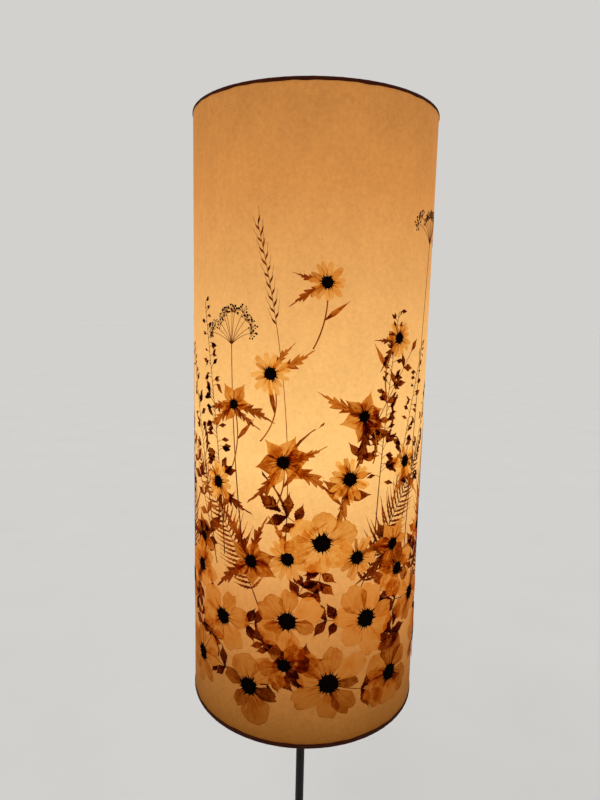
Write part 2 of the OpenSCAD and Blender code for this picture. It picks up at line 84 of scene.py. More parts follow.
# How far that light reaches over and under the bulb, in metres, and how round its peak is
GLOW_REACH_UP = 0.56
GLOW_REACH_DOWN = 0.335
GLOW_SOFT = 0.015

# Share of the light that the second layer of the lap lets through
LAP_TINT = (0.70, 0.54, 0.36)

# Parchment as daylight shows it, and its faint gloss
PARCHMENT = (0.10, 0.045, 0.010)
SATIN = 0.003

# Map of each petal and leaf, across it and along it
BLADE_MAP = "UVMap"

# Span that most values of a noise lie in
NOISE_LOW, NOISE_HIGH = 0.3, 0.7


class Graph:
    """The nodes of a material or of the world, with short ways to add more."""

    def __init__(self, owner):
        owner.use_nodes = True
        self.tree = owner.node_tree

    def feed(self, socket, value):
        """Joins an output to a socket, or sets a plain value on it. A colour has three numbers."""
        if isinstance(value, bpy.types.NodeSocket):
            self.tree.links.new(value, socket)
        elif socket.type == "RGBA":
            socket.default_value = (*value, 1)
        else:
            socket.default_value = value

    def node(self, kind, *values, named=None, **settings):
        """A new node. values feed its first inputs in order, and named feeds inputs by name or number."""
        made = self.tree.nodes.new("ShaderNode" + kind)
        for name, value in settings.items():
            setattr(made, name, value)
        for key, value in (*enumerate(values), *(named or {}).items()):
            if value is not None:
                self.feed(made.inputs[key], value)
        return made

    def math(self, operation, a, b=None):
        return self.node("Math", a, b, operation=operation).outputs[0]


class Shader(Graph):
    """A Principled material."""

    def __init__(self, name, **values):
        self.name = name
        self.material = bpy.data.materials.new(name)
        super().__init__(self.material)
        self.main = next(n for n in self.tree.nodes if n.type == "BSDF_PRINCIPLED")
        for socket, value in values.items():
            self.set(socket.replace("_", " "), value)

    def set(self, socket, value):
        self.feed(self.main.inputs[socket], value)

    def product(self, first, *others):
        for other in others:
            first = self.math("MULTIPLY", first, other)
        return first

    def total(self, first, *others):
        for other in others:
            first = self.math("ADD", first, other)
        return first

    def place(self):
        """Place on the object itself, in metres."""
        return self.node("TexCoord").outputs["Object"]

    def parts(self, vector):
        return self.node("SeparateXYZ", vector).outputs

    def noise(self, scale, detail=3, rough=0.55, warp=0.0, at=None):
        """Noise over the object, or over the vectors at. scale is one number, or one for each axis."""
        if at is None:
            at = self.place()
        if isinstance(scale, tuple):
            at = self.node("VectorMath", at, scale, operation="MULTIPLY").outputs[0]
            scale = 1.0
        fed = {"Vector": at, "Scale": scale, "Detail": detail, "Roughness": rough, "Distortion": warp}
        return self.node("TexNoise", named=fed).outputs[0]

    def between(self, value, low, high, to_low, to_high, smooth=False):
        """value from low to high, as a number from to_low to to_high."""
        kind = "SMOOTHSTEP" if smooth else "LINEAR"
        return self.node("MapRange", value, low, high, to_low, to_high, interpolation_type=kind).outputs[0]

    def spread(self, noise, to_low, to_high):
        """A noise as a number from to_low to to_high."""
        return self.between(noise, NOISE_LOW, NOISE_HIGH, to_low, to_high)

    def ramp(self, factor, *stops):
        """Colour along factor. Each stop is a place and a colour."""
        made = self.node("ValToRGB", factor)
        points = made.color_ramp.elements
        while len(points) < len(stops):
            points.new(1.0)
        for point, (position, colour) in zip(points, stops):
            point.position = position
            point.color = (*colour, 1)
        return made.outputs[0]

    def mixed(self, kind, factor, a, b):
        """Two colours, put together by a blend kind."""
        return self.node("Mix", named={0: factor, 6: a, 7: b}, data_type="RGBA", blend_type=kind).outputs[2]

    def scaled(self, colour, factor):
        return self.node("VectorMath", colour, named={"Scale": factor}, operation="SCALE").outputs[0]

    def bump(self, height, depth, strength=1.0):
        """Relief of a depth in metres."""
        made = self.node("Bump", named={"Strength": strength, "Distance": depth, "Height": height})
        self.set("Normal", made.outputs[0])

    def attribute(self, name):
        return self.node("Attribute", attribute_name=name).outputs["Fac"]

    def nearness(self):
        """How near this height is to the bulb's, from 0 at the rims to 1."""
        height = self.parts(self.place())[2]
        rise = self.math("SUBTRACT", height, BULB_Z)
        away = self.math("SQRT", self.total(self.product(rise, rise), GLOW_SOFT**2))
        below = self.math("LESS_THAN", rise, 0.0)
        reach = self.between(below, 0.0, 1.0, GLOW_REACH_UP, GLOW_REACH_DOWN)
        fall = self.math("DIVIDE", self.math("SUBTRACT", away, GLOW_SOFT), reach)
        return self.math("SUBTRACT", 1.0, fall)

    def lamplit(self, colour):
        """A colour times that of the lamp's light through the sheet at this height."""
        light = self.ramp(self.nearness(), (0.0, EMBER), (0.5, AMBER), (1.0, HONEY))
        return self.mixed("MULTIPLY", 1.0, colour, light)


# Materials of the shade


def parchment(name, lamp_glow):
    """Translucent parchment, lit from inside, with clouds, fibres, a few flecks and fine crease lines
    darkened as painted shade.
    """
    made = Shader(name, Roughness=0.5, Specular_IOR_Level=SATIN, Emission_Strength=1.0)
    clouds = made.spread(made.noise(16, 4, 0.6), 0.95, 1.035)
    mottle = made.spread(made.noise(190, 5, 0.76), 0.88, 1.09)
    strands = made.noise((60, 60, 26), 5, 0.7, warp=1.2)
    streaks = made.spread(strands, 0.955, 1.035)
    flecks = made.between(made.noise(190, 1), 0.755, 0.82, 1.0, 0.68)
    # Painted shade: fine crease lines darken both the sheet's colour and the lamp light through it
    crease_lines = made.noise((22, 22, 46), 2, 0.5, warp=2.4)
    off_crease_line = made.math("ABSOLUTE", made.math("SUBTRACT", crease_lines, 0.5))
    crease_shade = made.between(off_crease_line, 0.0, 0.008, 0.94, 1.0)
    cloudy = made.math("SUBTRACT", made.product(clouds, mottle, streaks), 1.0)
    weak_light = made.between(made.nearness(), 0.35, 0.7, 1.1, 0.9)
    body = made.product(made.total(made.product(cloudy, weak_light), 1.0), flecks, crease_shade)
    over = made.math("SUBTRACT", made.attribute("layers"), 1.0)
    doubled = made.ramp(over, (0.0, (1, 1, 1)), (1.0, LAP_TINT))
    made.set("Base Color", made.scaled(PARCHMENT, body))
    made.set("Emission Color", made.scaled(made.lamplit(doubled), made.product(body, lamp_glow)))
    made.bump(made.total(made.noise(900), strands), 0.06 * MM, 0.5)
    return made


# Least thickness of a pressed blade, and how much its tone changes its veins
THINNEST = 0.65
OWN_VEINS = 83.0


def pressed(name, tints, veins, slant=0.0, rib=0.0):
    """A pressed petal or leaf that tints the lamp's light, more so where it is thick or in layers.

    veins counts the lines in it, which run along it, or to its sides by slant. rib is how much
    thicker it is along its middle.
    """
    made = Shader(name, Roughness=0.62, Specular_IOR_Level=SATIN, Emission_Strength=1.0)
    across, along, _ = made.parts(made.node("UVMap", uv_map=BLADE_MAP).outputs[0])
    tone = made.attribute("tone")
    off_middle = made.math("ABSOLUTE", made.math("SUBTRACT", across, 0.5))
    if slant:
        lengthwise = made.product(along, veins)
        line = made.math("SUBTRACT", lengthwise, made.product(off_middle, slant))
        run = off_middle
    else:
        line = made.product(across, veins)
        run = along
    own = made.product(tone, OWN_VEINS)
    course = made.node("CombineXYZ", line, made.product(run, 1.4), own).outputs[0]
    lines = made.noise(1.0, 3, 0.6, warp=0.25, at=course)
    to_foot = made.between(along, 0.1, 0.7, 2.3, 0.3, smooth=True)
    veined = made.product(made.between(lines, 0.50, 0.62, 0.0, 1.0), to_foot)
    foot = made.between(along, 0.05, 0.30, 0.6, 0.0, smooth=True)
    at_side = made.between(off_middle, 0.445, 0.5, 0.0, 1.0, smooth=True)
    sides = made.product(at_side, made.between(along, 0.15, 0.8, 2.6, 0.9, smooth=True))
    tip = made.between(along, 0.96, 1.0, 0.0, 0.9, smooth=True)
    middle = made.between(off_middle, 0.0, 0.035, rib, 0.0, smooth=True)
    stains = made.between(made.noise(55, 4, 0.6), 0.46, 0.74, 0.0, 1.0)
    grain = made.spread(made.noise(420, 2), 0.0, 0.3)
    thickness = made.total(THINNEST, veined, foot, sides, tip, middle, stains, grain)
    depth = made.product(thickness, made.attribute("layers"))
    through = made.node("Gamma", made.ramp(tone, *tints), depth).outputs[0]
    made.set("Emission Color", made.lamplit(through))
    made.set("Base Color", made.mixed("MULTIPLY", 1.0, through, PARCHMENT))
    made.bump(made.total(lines, made.noise(400, 2)), 0.08 * MM, 0.6)
    return made


def seed_brown():
    """Nearly black pressed flower centres and anthers."""
    made = Shader("seed_brown", Roughness=0.8, Specular_IOR_Level=SATIN, Emission_Strength=1.0)
    spots = made.noise(620)
    colour = made.ramp(spots, (0.4, (0.0008, 0.0006, 0.0005)), (0.8, (0.005, 0.0022, 0.0012)))
    made.set("Base Color", colour)
    made.set("Emission Color", made.scaled(made.lamplit(colour), 0.5))
    made.bump(spots, 0.15 * MM)
    return made


# Width of one rib of the tape's weave
TAPE_RIB = 0.7 * MM


def binding_tape():
    """Narrow dark brown tape, with paler threads in its weave."""
    made = Shader(
        "binding_tape", Roughness=0.9, Specular_IOR_Level=0.04, Sheen_Weight=0.02, Emission_Strength=1.0
    )
    x, y, z = made.parts(made.place())
    turn = made.math("ARCTAN2", y, x)
    ribs = made.math("SINE", made.product(turn, 2 * math.pi * SHADE_R / TAPE_RIB))
    rows = made.math("SINE", made.product(z, 2 * math.pi / TAPE_RIB))
    weave = made.between(made.product(ribs, rows), -1.0, 1.0, 0.0, 1.0)
    worn = made.between(made.noise(60, 4), 0.35, 0.7, 0.75, 1.35)
    cloth = made.ramp(weave, (0.0, (0.014, 0.0022, 0.0006)), (1.0, (0.040, 0.0080, 0.0018)))
    made.set("Base Color", made.scaled(cloth, worn))
    made.set("Emission Color", made.lamplit(cloth))
    made.bump(weave, 0.12 * MM)
    return made


# Materials of the stand, the lampholder and the bulb


def coated(name, colour, roughness, ripple, wear=0.12, gloss=0.5, coat=0.0):
    """Paint, plastic or ceramic: an even colour with faint clouds, dust and a rippled gloss."""
    made = Shader(name, Specular_IOR_Level=gloss, Coat_Weight=coat, Coat_Roughness=0.12)
    clouds = made.noise(35, 4)
    made.set("Base Color", made.scaled(colour, made.spread(clouds, 1.0 - wear, 1.0 + wear)))
    dust = made.noise(240, 4, 0.7)
    made.set("Roughness", made.between(dust, 0.3, 0.75, roughness * 0.8, min(1.0, roughness * 1.3)))
    made.bump(made.noise(ripple, 2), 0.05 * MM, 0.35)
    return made


def drawn_metal(name, colour, roughness, grain, tarnish):
    """Bare or plated metal with fine draw lines and a little tarnish."""
    made = Shader(name, Metallic=1.0)
    lines = made.noise(grain, 4, 0.7)
    dull = made.between(made.noise(90, 4, 0.6), 0.45, 0.75, 0.0, tarnish)
    worn = tuple(0.45 * c for c in colour)
    made.set("Base Color", made.mixed("MIX", dull, colour, worn))
    made.set("Roughness", made.spread(lines, roughness * 0.75, roughness * 1.35))
    made.bump(lines, 0.03 * MM, 0.4)
    return made


def rough_casting():
    """Raw grey iron, pitted by the sand it was cast in."""
    made = Shader("cast_iron", Metallic=0.6)
    pits = made.noise(420, 5, 0.7)
    rust = made.between(made.noise(40, 4), 0.55, 0.75, 0.0, 0.5)
    made.set("Base Color", made.mixed("MIX", rust, (0.11, 0.11, 0.115), (0.13, 0.055, 0.025)))
    made.set("Roughness", made.spread(pits, 0.55, 0.85))
    made.bump(pits, 0.4 * MM, 0.7)
    return made


def felt():
    """Pressed felt with short matted fibres."""
    made = Shader("felt", Roughness=0.97, Sheen_Weight=0.35, Sheen_Roughness=0.6)
    fibres = made.noise((900, 500, 900), 5, 0.75, warp=1.5)
    colour = made.ramp(fibres, (0.3, (0.022, 0.020, 0.019)), (0.75, (0.085, 0.080, 0.074)))
    made.set("Base Color", colour)
    made.bump(fibres, 0.35 * MM, 0.8)
    return made


def opal_bulb():
    """Opal bulb glass, lit, a little dimmer at its neck."""
    made = Shader("opal_glass", Roughness=0.25, Emission_Strength=0.9)
    height = made.parts(made.place())[2]
    lit = made.between(height, bulb_low.z, BULB_Z, 0.35, 1.0, smooth=True)
    haze = made.spread(made.noise(70, 2), 0.96, 1.02)
    made.set("Emission Color", made.scaled((1.0, 0.78, 0.46), made.product(lit, haze)))
    made.set("Base Color", made.scaled((0.9, 0.82, 0.7), haze))
    return made


def clear_glass():
    """Clear glass, a little uneven in tint."""
    made = Shader("clear_glass", Roughness=0.04, Transmission_Weight=1.0, IOR=1.5)
    seeds = made.noise(300, 2)
    made.set("Base Color", made.ramp(seeds, (0.3, (0.86, 0.90, 0.89)), (0.7, (0.95, 0.97, 0.97))))
    return made


FINISHES = {
    made.name: made.material
    for made in (
        felt(),
        rough_casting(),
        coated("black_lacquer", (0.006, 0.004, 0.004), roughness=0.42, ripple=500, gloss=0.15, wear=0.25),
        coated("rubber", (0.016, 0.016, 0.016), roughness=0.75, ripple=900),
        drawn_metal("zinc_steel", (0.50, 0.51, 0.53), roughness=0.38, grain=(60, 60, 700), tarnish=0.5),
        coated("bakelite", (0.024, 0.015, 0.011), roughness=0.28, ripple=260, coat=0.3, wear=0.3),
        coated("porcelain", (0.80, 0.77, 0.70), roughness=0.16, ripple=180, coat=0.4, wear=0.05),
        drawn_metal("brass", (0.66, 0.44, 0.15), roughness=0.3, grain=(500, 500, 60), tarnish=0.55),
        drawn_metal("nickel", (0.62, 0.61, 0.58), roughness=0.2, grain=(80, 80, 900), tarnish=0.3),
        coated("black_glass", (0.012, 0.011, 0.012), roughness=0.1, ripple=200),
        opal_bulb(),
        clear_glass(),
        drawn_metal("tungsten", (0.42, 0.38, 0.34), roughness=0.45, grain=(900, 900, 900), tarnish=0.3),
        drawn_metal("frame_wire", (0.34, 0.33, 0.31), roughness=0.45, grain=(300, 300, 60), tarnish=0.6),
        binding_tape(),
    )
}

# Share of the lamp's light that one layer lets through
PALE_PETALS = (
    (0.0, (0.90, 0.74, 0.47)),
    (0.4, (0.76, 0.55, 0.27)),
    (0.75, (0.52, 0.30, 0.095)),
    (1.0, (0.26, 0.105, 0.022)),
)
RUST_PETALS = ((0.0, (0.79, 0.54, 0.24)), (0.5, (0.60, 0.33, 0.10)), (1.0, (0.28, 0.105, 0.018)))
LEAVES = ((0.0, (0.50, 0.21, 0.04)), (0.45, (0.30, 0.09, 0.012)), (1.0, (0.12, 0.025, 0.004)))
STALKS = ((0.0, (0.45, 0.19, 0.04)), (1.0, (0.12, 0.025, 0.004)))
LEAF = pressed("leaf", LEAVES, veins=16, slant=9, rib=0.6)

# Kinds of pressed things, each with its material. One half of the shade has a piece of each
KINDS = {
    "broad_petals": pressed("broad_petal", PALE_PETALS, veins=15, rib=0.1),
    "pointed_petals": pressed("pointed_petal", RUST_PETALS, veins=10, rib=0.5),
    "ray_petals": pressed("ray_petal", PALE_PETALS, veins=5, rib=0.15),
    "fronds": LEAF,
    "toothed_leaves": LEAF,
    "lobed_leaves": LEAF,
    "plain_leaves": LEAF,
    "buds": LEAF,
    "stalks": pressed("stalk", STALKS, veins=2),
    "seed_heads": seed_brown(),
}


# Thin things laid on the sheet


def smooth(x):
    """Eases in and out from 0 to 1, and stays there on both sides."""
    x = np.clip(x, 0.0, 1.0)
    return x * x * (3 - 2 * x)


def sheet_radius(turn):
    """Radius of the sheet's outer face. Its end rises over its start at the back."""
    past = (turn + math.pi) % (2 * math.pi) * SHADE_R
    rise = (past - (2 * HALF_ROUND - LAP_W / 2 - LAP_RISE)) / LAP_RISE
    return SHADE_R + SHEET_T * np.where(past < LAP_W / 2, 1.0, smooth(rise))


def wrapped(across, up, radius):
    """Points round the lamp's axis, given across the sheet from its front and up from its lower rim."""
    turn = across / SHADE_R
    return np.stack([radius * np.sin(turn), -radius * np.cos(turn), SHADE_Z + up], axis=-1)


def put(name, data):
    """A new object in the scene."""
    made = bpy.data.objects.new(name, data)
    bpy.context.scene.collection.objects.link(made)
    return made


class Bed:
    """Thin closed patches gathered into one mesh, each point with a tone and a count of layers."""

    def __init__(self):
        self.points, self.faces, self.tones, self.layers, self.uvs = [], [], [], [], []
        self.count = 0

    def patch(self, outer, inner, tone=0.5, layers=1.0):
        """Adds a closed patch between two grids of points."""
        rows, columns = outer.shape[:2]
        size = rows * columns
        index = np.arange(size).reshape(rows, columns)
        corners = (index[:-1, :-1], index[:-1, 1:], index[1:, 1:], index[1:, :-1])
        cells = np.stack(corners, -1).reshape(-1, 4)
        border = np.concatenate([index[0], index[1:, -1], index[-1, -2::-1], index[-2:0:-1, 0]])
        following = np.roll(border, -1)
        rim = np.stack([border, border + size, following + size, following], -1)
        self.faces.append(np.concatenate([cells, cells[:, ::-1] + size, rim]) + self.count)
        self.points.append(np.concatenate([outer.reshape(-1, 3), inner.reshape(-1, 3)]))
        v, u = np.meshgrid(np.linspace(0, 1, rows), np.linspace(0, 1, columns), indexing="ij")
        self.uvs.append(np.tile(np.stack([u.ravel(), v.ravel()], -1), (2, 1)))
        self.tones.append(np.full(2 * size, tone))
        self.layers.append(np.tile(np.broadcast_to(layers, (rows, columns)).ravel(), 2))
        self.count += 2 * size

    def lay(self, x, y, lift, thick, tone=0.5, layers=1.0):
        """Adds a patch that lies on the sheet, from a grid in millimetres on the unrolled sheet."""
        across, up = x * MM, y * MM
        low = sheet_radius(across / SHADE_R) + lift * MM
        self.patch(wrapped(across, up, low + thick * MM), wrapped(across, up, low), tone, layers)

    def piece(self, name, *materials):
        """The gathered patches as one object."""
        mesh = bpy.data.meshes.new(name)
        points, faces = np.concatenate(self.points), np.concatenate(self.faces)
        mesh.from_pydata(points.tolist(), [], faces.tolist())
        layer = mesh.uv_layers.new(name=BLADE_MAP)
        layer.data.foreach_set("uv", np.concatenate(self.uvs)[faces.ravel()].ravel().astype(np.float32))
        for label, values in (("tone", self.tones), ("layers", self.layers)):
            kept = mesh.attributes.new(label, "FLOAT", "POINT")
            kept.data.foreach_set("value", np.concatenate(values).astype(np.float32))
        mesh.polygons.foreach_set("use_smooth", np.ones(len(faces), dtype=bool))
        for material in materials:
            mesh.materials.append(material)
        return put(name, mesh)


# Shapes of petals and leaves


class Outline(NamedTuple):
    """Half width of a blade along its length, as shares of its greatest, and its edge and tip."""

    base: float
    widest: float
    tip: float
    rounding: float = 0.0
    notch: float = 0.0
    teeth: float = 0.0
    teeth_count: int = 0
    sweep: float = 0.0


HEART = Outline(base=0.15, widest=0.85, tip=1.0, rounding=0.40, notch=0.05)
POINTED = Outline(base=0.26, widest=0.46, tip=0.06)
RAY = Outline(base=0.36, widest=0.70, tip=0.85, rounding=0.20, notch=0.03)
OVAL = Outline(base=0.12, widest=0.46, tip=0.06)
LANCE = Outline(base=0.20, widest=0.35, tip=0.04)
BUD = Outline(base=0.30, widest=0.55, tip=0.25, rounding=0.2)
PINNA = Outline(base=0.45, widest=0.22, tip=0.10, teeth=0.5, teeth_count=6, sweep=0.5)
TOOTHED = Outline(base=0.22, widest=0.42, tip=0.03, teeth=0.20, teeth_count=8, sweep=0.25)
LOBED = Outline(base=0.10, widest=0.40, tip=0.03, teeth=0.72, teeth_count=6, sweep=1.0)
TAPER = Outline(base=0.9, widest=0.3, tip=0.08)

# Rows of points in a tooth, and where along a blade teeth end and how fast they fade
TOOTH_ROWS = 4
TEETH_END = 0.94
TEETH_FADE = 0.1

# Spread of the notch in a petal's tip, and waves in a ragged side and tip
NOTCH_SPREAD = 0.28
SIDE_WAVES = 9
TIP_WAVES = 5
FINE_TIP_WAVES = 11


def half_width(outline, v, left):
    """Half width at a share of the length. Teeth point to the tip, by turns left and right."""
    rise = outline.base + (1 - outline.base) * smooth(v / outline.widest)
    fall = 1 - (1 - outline.tip) * smooth((v - outline.widest) / (1 - outline.widest))
    half = np.where(v < outline.widest, rise, fall)
    if outline.teeth:
        tooth = (v * outline.teeth_count + np.where(left, 0.5, 0.0)) % 1.0
        half = half * (1 - outline.teeth * (1 - tooth) * smooth((TEETH_END - v) / TEETH_FADE))
    return half


def drawn_back(outline, u):
    """How far the sides of a round tip lie behind its middle. u is the place across, from -1 to 1."""
    return outline.rounding * (1 - np.sqrt(np.maximum(0.0, 1 - u**2)))


def blade(outline, length, width, rows, columns, bend, ragged=0.0):
    """Grid of a petal or leaf that grows along y."""
    columns_at = np.sin(np.linspace(-math.pi / 2, math.pi / 2, columns))
    v, u = np.meshgrid(np.linspace(0, 1, rows), columns_at, indexing="ij")
    half = width / 2 * half_width(outline, v, u < 0)
    tip = 1 - drawn_back(outline, u) * v - outline.notch * np.exp(-((u / NOTCH_SPREAD) ** 2)) * v**6
    if ragged:
        phase = rng.uniform(0, 2 * math.pi, 3)
        half = half * (1 + ragged * np.sin(SIDE_WAVES * v + phase[0]) * np.abs(u))
        frayed = np.sin(TIP_WAVES * u + phase[1]) + 0.5 * np.sin(FINE_TIP_WAVES * u + phase[2])
        tip = tip + ragged * frayed * v**5
    return u * half + bend * length * v**2, v * length * tip + outline.sweep * np.abs(u) * half


def turned(x, y, degrees, at):
    """A grid turned clockwise from upright and put at a place."""
    a = math.radians(degrees)
    return at[0] + x * math.cos(a) + y * math.sin(a), at[1] - x * math.sin(a) + y * math.cos(a)


def disc(at, radius, count):
    v, u = np.meshgrid(np.linspace(-1, 1, count), np.linspace(-1, 1, count), indexing="ij")
    return at[0] + radius * u * np.sqrt(1 - v**2 / 2), at[1] + radius * v * np.sqrt(1 - u**2 / 2)


# Heights over the sheet at which things lie, and how thick they are, in millimetres
STALK_LIFT = 0.05
LEAF_LIFT = 0.10
LEAF_STEP = 0.012
LEAF_LEVELS = 9
RIB_STEP = 0.06
PETAL_LIFT = 0.22
PETAL_STEP = 0.012
LEVEL_STEP = 0.24
STALK_T = 0.2
BLADE_T = 0.01
SEED_T = 0.15

# Points of a stalk: millimetres between them, and the fewest
SHOOT_STEP = 4.0
SHOOT_LEAST = 4


class Shoot:
    """A stalk or rib that leans, and then bends by curve degrees."""

    def __init__(self, root, length, lean, curve):
        count = max(SHOOT_LEAST, int(length / SHOOT_STEP))
        self.share = np.linspace(0, 1, count)
        self.heading = lean + curve * self.share
        step = length / (count - 1)
        way = np.radians(self.heading[:-1])
        self.x = root[0] + np.concatenate([[0], np.cumsum(step * np.sin(way))])
        self.y = root[1] + np.concatenate([[0], np.cumsum(step * np.cos(way))])

    def at(self, share):
        return np.interp(share, self.share, self.x), np.interp(share, self.share, self.y)

    def way(self, share):
        return np.interp(share, self.share, self.heading)

    def draw(self, wide, narrow, tone, lift=STALK_LIFT):
        """Lays it as a ribbon that tapers from wide to narrow."""
        half = np.linspace(wide, narrow, len(self.x)) / 2
        a = np.radians(self.heading)
        side = np.array([-1.0, 1.0])
        x = self.x[:, None] + side * (half * np.cos(a))[:, None]
        y = self.y[:, None] - side * (half * np.sin(a))[:, None]
        beds["stalks"].lay(x, y, lift, STALK_T, tone)


# Rounds that find a point's place along a blade, and the share of each end that covers nothing
COVER_ROUNDS = 3
COVER_MARGIN = 0.03


class Laid(NamedTuple):
    """A blade that lies on the sheet already, and how many layers it counts for under another."""

    outline: Outline
    at: tuple
    degrees: float
    length: float
    width: float
    bend: float
    density: float

    def covers(self, x, y):
        """Which points lie on it. Its row v lies at v * (1 - back * v) of its length, plus its sweep."""
        a = math.radians(self.degrees)
        dx, dy = x - self.at[0], y - self.at[1]
        across, along = dx * math.cos(a) - dy * math.sin(a), dx * math.sin(a) + dy * math.cos(a)
        share = along / self.length
        v = share
        for _ in range(COVER_ROUNDS):
            side = across - self.bend * self.length * v**2
            off = np.abs(side)
            half = self.width / 2 * half_width(self.outline, np.clip(v, 0, 1), side < 0)
            back = drawn_back(self.outline, np.minimum(off / half, 1.0))
            unswept = share - self.outline.sweep * off / self.length
            v = 2 * unswept / (1 + np.sqrt(np.maximum(0.0, 1 - 4 * back * unswept)))
        return (off < half) & (v > COVER_MARGIN) & (v < 1 - COVER_MARGIN)


LEAF_KINDS = {TOOTHED: "toothed_leaves", LOBED: "lobed_leaves", BUD: "buds"}

# Beds of the half that is being laid, all blades so far, and each flower's place, size and level
beds = {}
laid = []
flowers = []

# Layers that a leaf and the lap count for under a blade, and the most that count
LEAF_DENSITY = 1.3
LAP_DENSITY = 0.7
MOST_LAYERS = 4.0

# How ragged the edges are, as a share of the blade
RAGGED_LEAF = 0.04
RAGGED_PETAL = 0.03

# Petals that shrank and darkened as they dried: share of all, size and added tone
WITHERED = 0.2
WITHERED_WIDTH = 0.6
WITHERED_LENGTH = 0.86
WITHERED_TONE = 0.45

# Seed heads: reach of core and grains in radii, counts, and heights in millimetres
CORE_REACH = 0.88
GRAIN_REACH = 0.86
GRAINS_LEAST = 14
GRAINS_PER_MM = 1.6
BRISTLES = 30
CORE_LIFT = 0.02
GRAIN_LIFT = 0.08
BRISTLE_T = 0.08

# Turn from one grain of a head to the next
GOLDEN_ANGLE = math.pi * (3 - math.sqrt(5))

# Heights over the lower rim: leaves stay over the first, roses under the second are browner, and
# flowers over the third have stalks
LOWEST = 22.0
LOW_ROWS = 130
TALL = 290


def over_lap(x):
    """Layers that the lap of the sheet adds under a point."""
    off = np.abs(x % (2 * HALF_ROUND / MM) - HALF_ROUND / MM)
    return LAP_DENSITY * (off < LAP_W / MM / 2)


def toothed_rows(outline):
    return outline.teeth_count * TOOTH_ROWS + 1


def lay_blade(bed, outline, at, degrees, length, width, tone, lift, columns, bend, ragged, density=1.0):
    """Lays a petal or leaf and counts, at each of its points, what lies under it."""
    rows = toothed_rows(outline) if outline.teeth else columns
    x, y = turned(*blade(outline, length, width, rows, columns, bend, ragged), degrees, at)
    near = [other for other in laid if math.dist(other.at, at) < other.length + length]
    layers = 1.0 + sum((other.density * other.covers(x, y) for other in near), over_lap(x))
    beds[bed].lay(x, y, lift, BLADE_T, np.clip(tone, 0, 1), np.minimum(layers, MOST_LAYERS))
    laid.append(Laid(outline, at, degrees, length, width, bend, density))


def leaf(outline, at, degrees, length, width, tone, columns=7, bend=0.0):
    """A leaf or leaflet. Those that follow each other lie at different heights."""
    lift = LEAF_LIFT + LEAF_STEP * (len(laid) % LEAF_LEVELS)
    lay_blade(
        LEAF_KINDS.get(outline, "plain_leaves"), outline, at, degrees, length, width, tone, lift, columns,
        bend, RAGGED_LEAF, LEAF_DENSITY,
    )


def blossom(bed, at, size, outline, tone, count, width, seed_share, columns):
    """A flat pressed flower seen from above, with a dark seed head. It lies over those that it meets."""
    under = (level for place, wide, level in flowers if math.dist(place, at) < (wide + size) / 2)
    level = 1 + max(under, default=-1)
    flowers.append((at, size, level))
    lift = PETAL_LIFT + LEVEL_STEP * level
    start = rng.uniform(0, 360)
    for k, i in enumerate(rng.permutation(count)):
        degrees = start + 360 * i / count + rng.normal(0, 45 / count)
        length = size / 2 * rng.uniform(0.80, 1.06)
        wide = size * width * rng.uniform(0.78, 1.12)
        withered = rng.random() < WITHERED
        if withered:
            wide, length = WITHERED_WIDTH * wide, WITHERED_LENGTH * length
        own = tone + rng.normal(0, 0.15) + (WITHERED_TONE if withered else 0.0)
        bend = rng.normal(0, 0.06)
        high = lift + PETAL_STEP * k
        lay_blade(bed, outline, at, degrees, length, wide, own, high, columns, bend, RAGGED_PETAL)
    seed_head(at, size * seed_share, lift + PETAL_STEP * count)


def seed_head(at, radius, lift):
    """Dark bristly centre with grains on it."""
    bed = beds["seed_heads"]
    bed.lay(*disc(at, radius * CORE_REACH, count=7), lift + CORE_LIFT, SEED_T)
    grains = int(GRAINS_LEAST + GRAINS_PER_MM * radius)
    for k in range(grains):
        reach = radius * GRAIN_REACH * math.sqrt((k + 0.5) / grains) * rng.uniform(0.92, 1.08)
        a = GOLDEN_ANGLE * k
        spot = (at[0] + reach * math.cos(a), at[1] + reach * math.sin(a))
        grain = disc(spot, radius * rng.uniform(0.13, 0.20), count=3)
        bed.lay(*grain, lift + GRAIN_LIFT, SEED_T * rng.uniform(0.8, 1.6))
    for k in range(BRISTLES):
        degrees = 360 * k / BRISTLES + rng.uniform(-6, 6)
        length = radius * rng.uniform(1.03, 1.36)
        width = radius * rng.uniform(0.24, 0.38)
        x, y = blade(TAPER, length, width, rows=4, columns=2, bend=rng.normal(0, 0.06))
        bed.lay(*turned(x, y, degrees, at), lift, BRISTLE_T)


def clear_of_rim(at, degrees, reach):
    """Turns a leaf up where it would reach too near the lower rim."""
    low = at[1] + reach * min(0.0, math.cos(math.radians(degrees)))
    return degrees if low > LOWEST else 180 - degrees


def two_ways(apart):
    """Two directions in degrees, about so far apart."""
    return rng.uniform(0, 360) + np.array([0.0, apart]) + rng.uniform(-30, 30, 2)


def rose(at, size):
    """A wild rose with five to eight broad petals and its leaves of toothed leaflets."""
    for degrees in two_ways(150.0):
        reach = size * rng.uniform(0.80, 1.0)
        rose_leaf(at, clear_of_rim(at, degrees, 1.15 * reach), reach)
    tone = rng.uniform(0.0, 0.3) + (at[1] < LOW_ROWS) * (0.1 + 0.35 * rng.random())
    count = rng.choice((5, 6, 6, 7, 8))
    blossom("broad_petals", at, size, HEART, tone, count, width=2.3 / count, seed_share=0.125, columns=21)


def star(at, size):
    """A flower with six pointed petals and lobed leaves."""
    for degrees in two_ways(120.0):
        lobed_leaf(at, degrees, size * rng.uniform(0.85, 1.15))
    tone = rng.uniform(0.15, 0.6)
    blossom("pointed_petals", at, size, POINTED, tone, count=6, width=0.30, seed_share=0.115, columns=19)


def daisy(at, size):
    """A flower with many narrow rays and one lobed leaf."""
    lobed_leaf(at, rng.uniform(0, 360), size * rng.uniform(0.9, 1.25))
    tone = rng.uniform(0.0, 0.35)
    blossom("ray_petals", at, size, RAY, tone, count=15, width=0.15, seed_share=0.16, columns=13)


